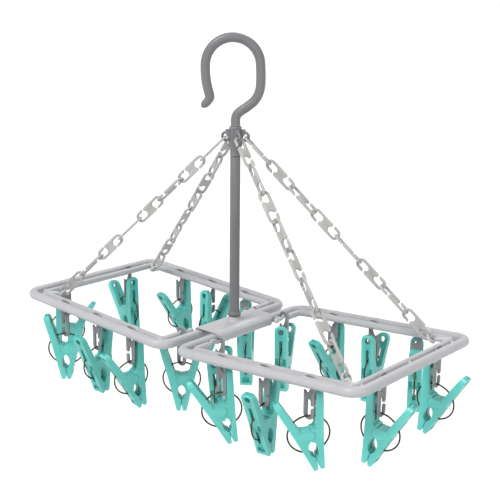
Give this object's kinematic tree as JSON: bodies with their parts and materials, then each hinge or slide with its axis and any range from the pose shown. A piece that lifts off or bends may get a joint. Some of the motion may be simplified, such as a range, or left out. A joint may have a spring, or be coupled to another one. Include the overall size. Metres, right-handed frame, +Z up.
{
  "type": "clip drying hanger",
  "caption": "Folding laundry hanger: a swivelling hook and pole carry two double-rail frames that fold up, held by link chains, with sprung pegs on hook links.",
  "frame": {"origin": "where a clothes rail touches the inside of the hook's crown", "axes": "+Z up along the pole, +X along the hanger's length from one folding half to the other, +Y across it"},
  "size_m": [0.5488, 0.2688, 0.4246],
  "materials": {
    "rail_plastic": "satin moulded plastic, light cool grey",
    "grey_plastic": "satin moulded plastic, mid grey",
    "chain_plastic": "matt moulded plastic, warm grey",
    "peg_plastic": "satin moulded plastic, turquoise"
  },
  "bodies": {
    "hook": {"hook": "grey_plastic"},
    "mast": {"top_collar": "grey_plastic", "pole": "grey_plastic", "centre_bracket": "rail_plastic", "chain_left_back_upper": "chain_plastic", "chain_left_back_middle": "chain_plastic", "chain_left_back_lower": "chain_plastic", "chain_left_front_upper": "chain_plastic", "chain_left_front_middle": "chain_plastic", "chain_left_front_lower": "chain_plastic", "chain_right_back_upper": "chain_plastic", "chain_right_back_middle": "chain_plastic", "chain_right_back_lower": "chain_plastic", "chain_right_front_upper": "chain_plastic", "chain_right_front_middle": "chain_plastic", "chain_right_front_lower": "chain_plastic"},
    "half_left": {"frame_left": "rail_plastic"},
    "half_right": {"frame_right": "rail_plastic"},
    "peg_right_front_1": {"peg_right_front_1_hung_jaw": "peg_plastic"},
    "peg_right_front_1_jaw": {"peg_right_front_1_free_jaw": "peg_plastic"},
    "peg_right_front_2": {"peg_right_front_2_hung_jaw": "peg_plastic"},
    "peg_right_front_2_jaw": {"peg_right_front_2_free_jaw": "peg_plastic"},
    "peg_right_front_3": {"peg_right_front_3_hung_jaw": "peg_plastic"},
    "peg_right_front_3_jaw": {"peg_right_front_3_free_jaw": "peg_plastic"},
    "peg_right_end_1": {"peg_right_end_1_hung_jaw": "peg_plastic"},
    "peg_right_end_1_jaw": {"peg_right_end_1_free_jaw": "peg_plastic"},
    "peg_right_end_2": {"peg_right_end_2_hung_jaw": "peg_plastic"},
    "peg_right_end_2_jaw": {"peg_right_end_2_free_jaw": "peg_plastic"},
    "peg_right_back_1": {"peg_right_back_1_hung_jaw": "peg_plastic"},
    "peg_right_back_1_jaw": {"peg_right_back_1_free_jaw": "peg_plastic"},
    "peg_right_back_2": {"peg_right_back_2_hung_jaw": "peg_plastic"},
    "peg_right_back_2_jaw": {"peg_right_back_2_free_jaw": "peg_plastic"},
    "peg_right_back_3": {"peg_right_back_3_hung_jaw": "peg_plastic"},
    "peg_right_back_3_jaw": {"peg_right_back_3_free_jaw": "peg_plastic"},
    "peg_right_arch": {"peg_right_arch_hung_jaw": "peg_plastic"},
    "peg_right_arch_jaw": {"peg_right_arch_free_jaw": "peg_plastic"},
    "peg_right_rod": {"peg_right_rod_hung_jaw": "peg_plastic"},
    "peg_right_rod_jaw": {"peg_right_rod_free_jaw": "peg_plastic"},
    "peg_left_front_1": {"peg_left_front_1_hung_jaw": "peg_plastic"},
    "peg_left_front_1_jaw": {"peg_left_front_1_free_jaw": "peg_plastic"},
    "peg_left_front_2": {"peg_left_front_2_hung_jaw": "peg_plastic"},
    "peg_left_front_2_jaw": {"peg_left_front_2_free_jaw": "peg_plastic"},
    "peg_left_front_3": {"peg_left_front_3_hung_jaw": "peg_plastic"},
    "peg_left_front_3_jaw": {"peg_left_front_3_free_jaw": "peg_plastic"},
    "peg_left_end_1": {"peg_left_end_1_hung_jaw": "peg_plastic"},
    "peg_left_end_1_jaw": {"peg_left_end_1_free_jaw": "peg_plastic"},
    "peg_left_end_2": {"peg_left_end_2_hung_jaw": "peg_plastic"},
    "peg_left_end_2_jaw": {"peg_left_end_2_free_jaw": "peg_plastic"},
    "peg_left_back_1": {"peg_left_back_1_hung_jaw": "peg_plastic"},
    "peg_left_back_1_jaw": {"peg_left_back_1_free_jaw": "peg_plastic"},
    "peg_left_back_2": {"peg_left_back_2_hung_jaw": "peg_plastic"},
    "peg_left_back_2_jaw": {"peg_left_back_2_free_jaw": "peg_plastic"},
    "peg_left_back_3": {"peg_left_back_3_hung_jaw": "peg_plastic"},
    "peg_left_back_3_jaw": {"peg_left_back_3_free_jaw": "peg_plastic"},
    "peg_left_arch": {"peg_left_arch_hung_jaw": "peg_plastic"},
    "peg_left_arch_jaw": {"peg_left_arch_free_jaw": "peg_plastic"},
    "peg_left_rod": {"peg_left_rod_hung_jaw": "peg_plastic"},
    "peg_left_rod_jaw": {"peg_left_rod_free_jaw": "peg_plastic"}
  },
  "joints": [
    {"name": "hook_swivel", "type": "hinge", "parent": "hook", "child": "mast", "pos_m": [0.00242, 0.00209, -0.095], "axis": [0, 0, 1], "continuous": true},
    {"name": "fold_left", "type": "hinge", "parent": "mast", "child": "half_left", "pos_m": [-0.00908, 0.00209, -0.322], "axis": [0, 1, 0], "range_deg": [0, 80], "deforming": ["chain_left_back_upper", "chain_left_back_middle", "chain_left_back_lower", "chain_left_front_upper", "chain_left_front_middle", "chain_left_front_lower"]},
    {"name": "fold_right", "type": "hinge", "parent": "mast", "child": "half_right", "pos_m": [0.01392, 0.00209, -0.322], "axis": [0, -1, 0], "range_deg": [0, 80], "deforming": ["chain_right_back_upper", "chain_right_back_middle", "chain_right_back_lower", "chain_right_front_upper", "chain_right_front_middle", "chain_right_front_lower"]},
    {"name": "peg_right_front_1_swing", "type": "hinge", "parent": "half_right", "child": "peg_right_front_1", "pos_m": [0.07231, -0.09571, -0.31843], "axis": [0, 1, 0], "range_deg": [-15, 15]},
    {"name": "peg_right_front_1_open", "type": "hinge", "parent": "peg_right_front_1", "child": "peg_right_front_1_jaw", "pos_m": [0.07231, -0.09571, -0.37462], "axis": [-0.7071, 0.7071, 0], "range_deg": [0, 14], "stiffness_Nm_per_rad": 0.08, "springref_deg": -28.65},
    {"name": "peg_right_front_2_swing", "type": "hinge", "parent": "half_right", "child": "peg_right_front_2", "pos_m": [0.12971, -0.09571, -0.31492], "axis": [0, 1, 0], "range_deg": [-15, 15]},
    {"name": "peg_right_front_2_open", "type": "hinge", "parent": "peg_right_front_2", "child": "peg_right_front_2_jaw", "pos_m": [0.12971, -0.09571, -0.37095], "axis": [-0.9962, -0.0872, 0], "range_deg": [0, 14], "stiffness_Nm_per_rad": 0.08, "springref_deg": -28.65},
    {"name": "peg_right_front_3_swing", "type": "hinge", "parent": "half_right", "child": "peg_right_front_3", "pos_m": [0.1871, -0.09571, -0.31141], "axis": [0, 1, 0], "range_deg": [-15, 15]},
    {"name": "peg_right_front_3_open", "type": "hinge", "parent": "peg_right_front_3", "child": "peg_right_front_3_jaw", "pos_m": [0.1871, -0.09571, -0.36756], "axis": [-0.7431, 0.6691, 0], "range_deg": [0, 14], "stiffness_Nm_per_rad": 0.08, "springref_deg": -28.65},
    {"name": "peg_right_end_1_swing", "type": "hinge", "parent": "half_right", "child": "peg_right_end_1", "pos_m": [0.24024, -0.04991, -0.30816], "axis": [0.9981, 0, 0.061], "range_deg": [-15, 15]},
    {"name": "peg_right_end_1_open", "type": "hinge", "parent": "peg_right_end_1", "child": "peg_right_end_1_jaw", "pos_m": [0.24024, -0.04991, -0.36431], "axis": [0.1219, -0.9925, 0], "range_deg": [0, 14], "stiffness_Nm_per_rad": 0.08, "springref_deg": -28.65},
    {"name": "peg_right_end_2_swing", "type": "hinge", "parent": "half_right", "child": "peg_right_end_2", "pos_m": [0.24024, 0.05409, -0.30816], "axis": [0.9981, 0, 0.061], "range_deg": [-15, 15]},
    {"name": "peg_right_end_2_open", "type": "hinge", "parent": "peg_right_end_2", "child": "peg_right_end_2_jaw", "pos_m": [0.24024, 0.05409, -0.36431], "axis": [0.0872, -0.9962, 0], "range_deg": [0, 14], "stiffness_Nm_per_rad": 0.08, "springref_deg": -28.65},
    {"name": "peg_right_back_1_swing", "type": "hinge", "parent": "half_right", "child": "peg_right_back_1", "pos_m": [0.07231, 0.09989, -0.31843], "axis": [0, 1, 0], "range_deg": [-15, 15]},
    {"name": "peg_right_back_1_open", "type": "hinge", "parent": "peg_right_back_1", "child": "peg_right_back_1_jaw", "pos_m": [0.07231, 0.09989, -0.37458], "axis": [-0.9962, 0.0872, 0], "range_deg": [0, 14], "stiffness_Nm_per_rad": 0.08, "springref_deg": -28.65},
    {"name": "peg_right_back_2_swing", "type": "hinge", "parent": "half_right", "child": "peg_right_back_2", "pos_m": [0.12971, 0.09989, -0.31492], "axis": [0, 1, 0], "range_deg": [-15, 15]},
    {"name": "peg_right_back_2_open", "type": "hinge", "parent": "peg_right_back_2", "child": "peg_right_back_2_jaw", "pos_m": [0.12971, 0.09989, -0.371], "axis": [0.9877, 0.1564, 0], "range_deg": [0, 14], "stiffness_Nm_per_rad": 0.08, "springref_deg": -28.65},
    {"name": "peg_right_back_3_swing", "type": "hinge", "parent": "half_right", "child": "peg_right_back_3", "pos_m": [0.1871, 0.09989, -0.31141], "axis": [0, 1, 0], "range_deg": [-15, 8]},
    {"name": "peg_right_back_3_open", "type": "hinge", "parent": "peg_right_back_3", "child": "peg_right_back_3_jaw", "pos_m": [0.1871, 0.09989, -0.36741], "axis": [0.866, 0.5, 0], "range_deg": [0, 14], "stiffness_Nm_per_rad": 0.08, "springref_deg": -28.65},
    {"name": "peg_right_arch_swing", "type": "hinge", "parent": "half_right", "child": "peg_right_arch", "pos_m": [0.02671, 0.06409, -0.31821], "axis": [0, 1, 0], "range_deg": [-15, 11]},
    {"name": "peg_right_arch_open", "type": "hinge", "parent": "peg_right_arch", "child": "peg_right_arch_jaw", "pos_m": [0.02671, 0.06409, -0.37429], "axis": [0.9063, 0.4226, 0], "range_deg": [0, 14], "stiffness_Nm_per_rad": 0.08, "springref_deg": -28.65},
    {"name": "peg_right_rod_swing", "type": "hinge", "parent": "half_right", "child": "peg_right_rod", "pos_m": [0.0269, -0.04891, -0.32121], "axis": [0, 1, 0], "range_deg": [-15, 4]},
    {"name": "peg_right_rod_open", "type": "hinge", "parent": "peg_right_rod", "child": "peg_right_rod_jaw", "pos_m": [0.0269, -0.04891, -0.37721], "axis": [0.9063, 0.4226, 0], "range_deg": [0, 8], "stiffness_Nm_per_rad": 0.08, "springref_deg": -28.65},
    {"name": "peg_left_front_1_swing", "type": "hinge", "parent": "half_left", "child": "peg_left_front_1", "pos_m": [-0.06747, -0.09571, -0.31843], "axis": [0, 1, 0], "range_deg": [-15, 15]},
    {"name": "peg_left_front_1_open", "type": "hinge", "parent": "peg_left_front_1", "child": "peg_left_front_1_jaw", "pos_m": [-0.06747, -0.09571, -0.37458], "axis": [-0.9659, 0.2588, 0], "range_deg": [0, 14], "stiffness_Nm_per_rad": 0.08, "springref_deg": -28.65},
    {"name": "peg_left_front_2_swing", "type": "hinge", "parent": "half_left", "child": "peg_left_front_2", "pos_m": [-0.12486, -0.09571, -0.31492], "axis": [0, 1, 0], "range_deg": [-15, 15]},
    {"name": "peg_left_front_2_open", "type": "hinge", "parent": "peg_left_front_2", "child": "peg_left_front_2_jaw", "pos_m": [-0.12486, -0.09571, -0.37095], "axis": [-0.9998, -0.0175, 0], "range_deg": [0, 14], "stiffness_Nm_per_rad": 0.08, "springref_deg": -28.65},
    {"name": "peg_left_front_3_swing", "type": "hinge", "parent": "half_left", "child": "peg_left_front_3", "pos_m": [-0.18225, -0.09571, -0.31141], "axis": [0, 1, 0], "range_deg": [-14, 15]},
    {"name": "peg_left_front_3_open", "type": "hinge", "parent": "peg_left_front_3", "child": "peg_left_front_3_jaw", "pos_m": [-0.18225, -0.09571, -0.36741], "axis": [0.6561, -0.7547, 0], "range_deg": [0, 14], "stiffness_Nm_per_rad": 0.08, "springref_deg": -28.65},
    {"name": "peg_left_end_1_swing", "type": "hinge", "parent": "half_left", "child": "peg_left_end_1", "pos_m": [-0.23539, -0.04991, -0.30816], "axis": [-0.9981, 0, 0.061], "range_deg": [-15, 15]},
    {"name": "peg_left_end_1_open", "type": "hinge", "parent": "peg_left_end_1", "child": "peg_left_end_1_jaw", "pos_m": [-0.23539, -0.04991, -0.36431], "axis": [0.6561, -0.7547, 0], "range_deg": [0, 14], "stiffness_Nm_per_rad": 0.08, "springref_deg": -28.65},
    {"name": "peg_left_end_2_swing", "type": "hinge", "parent": "half_left", "child": "peg_left_end_2", "pos_m": [-0.23539, 0.05409, -0.30816], "axis": [-0.9981, 0, 0.061], "range_deg": [-15, 15]},
    {"name": "peg_left_end_2_open", "type": "hinge", "parent": "peg_left_end_2", "child": "peg_left_end_2_jaw", "pos_m": [-0.23539, 0.05409, -0.36431], "axis": [0.0872, 0.9962, 0], "range_deg": [0, 14], "stiffness_Nm_per_rad": 0.08, "springref_deg": -28.65},
    {"name": "peg_left_back_1_swing", "type": "hinge", "parent": "half_left", "child": "peg_left_back_1", "pos_m": [-0.06747, 0.09989, -0.31843], "axis": [0, 1, 0], "range_deg": [-15, 15]},
    {"name": "peg_left_back_1_open", "type": "hinge", "parent": "peg_left_back_1", "child": "peg_left_back_1_jaw", "pos_m": [-0.06747, 0.09989, -0.37443], "axis": [0.8192, 0.5736, 0], "range_deg": [0, 14], "stiffness_Nm_per_rad": 0.08, "springref_deg": -28.65},
    {"name": "peg_left_back_2_swing", "type": "hinge", "parent": "half_left", "child": "peg_left_back_2", "pos_m": [-0.12486, 0.09989, -0.31492], "axis": [0, 1, 0], "range_deg": [-15, 15]},
    {"name": "peg_left_back_2_open", "type": "hinge", "parent": "peg_left_back_2", "child": "peg_left_back_2_jaw", "pos_m": [-0.12486, 0.09989, -0.37107], "axis": [0.9962, -0.0872, 0], "range_deg": [0, 14], "stiffness_Nm_per_rad": 0.08, "springref_deg": -28.65},
    {"name": "peg_left_back_3_swing", "type": "hinge", "parent": "half_left", "child": "peg_left_back_3", "pos_m": [-0.18225, 0.09989, -0.31141], "axis": [0, 1, 0], "range_deg": [-13, 15]},
    {"name": "peg_left_back_3_open", "type": "hinge", "parent": "peg_left_back_3", "child": "peg_left_back_3_jaw", "pos_m": [-0.18225, 0.09989, -0.36756], "axis": [-0.9962, 0.0872, 0], "range_deg": [0, 14], "stiffness_Nm_per_rad": 0.08, "springref_deg": -28.65},
    {"name": "peg_left_arch_swing", "type": "hinge", "parent": "half_left", "child": "peg_left_arch", "pos_m": [-0.02187, -0.05991, -0.31821], "axis": [0, 1, 0], "range_deg": [0, 15]},
    {"name": "peg_left_arch_open", "type": "hinge", "parent": "peg_left_arch", "child": "peg_left_arch_jaw", "pos_m": [-0.02187, -0.05991, -0.37421], "axis": [0.6561, -0.7547, 0], "range_deg": [0, 8], "stiffness_Nm_per_rad": 0.08, "springref_deg": -28.65},
    {"name": "peg_left_rod_swing", "type": "hinge", "parent": "half_left", "child": "peg_left_rod", "pos_m": [-0.02205, 0.05309, -0.32121], "axis": [0, 1, 0], "range_deg": [-15, 15]},
    {"name": "peg_left_rod_open", "type": "hinge", "parent": "peg_left_rod", "child": "peg_left_rod_jaw", "pos_m": [-0.02205, 0.05309, -0.37721], "axis": [0.8192, 0.5736, 0], "range_deg": [0, 14], "stiffness_Nm_per_rad": 0.08, "springref_deg": -28.65}
  ]
}
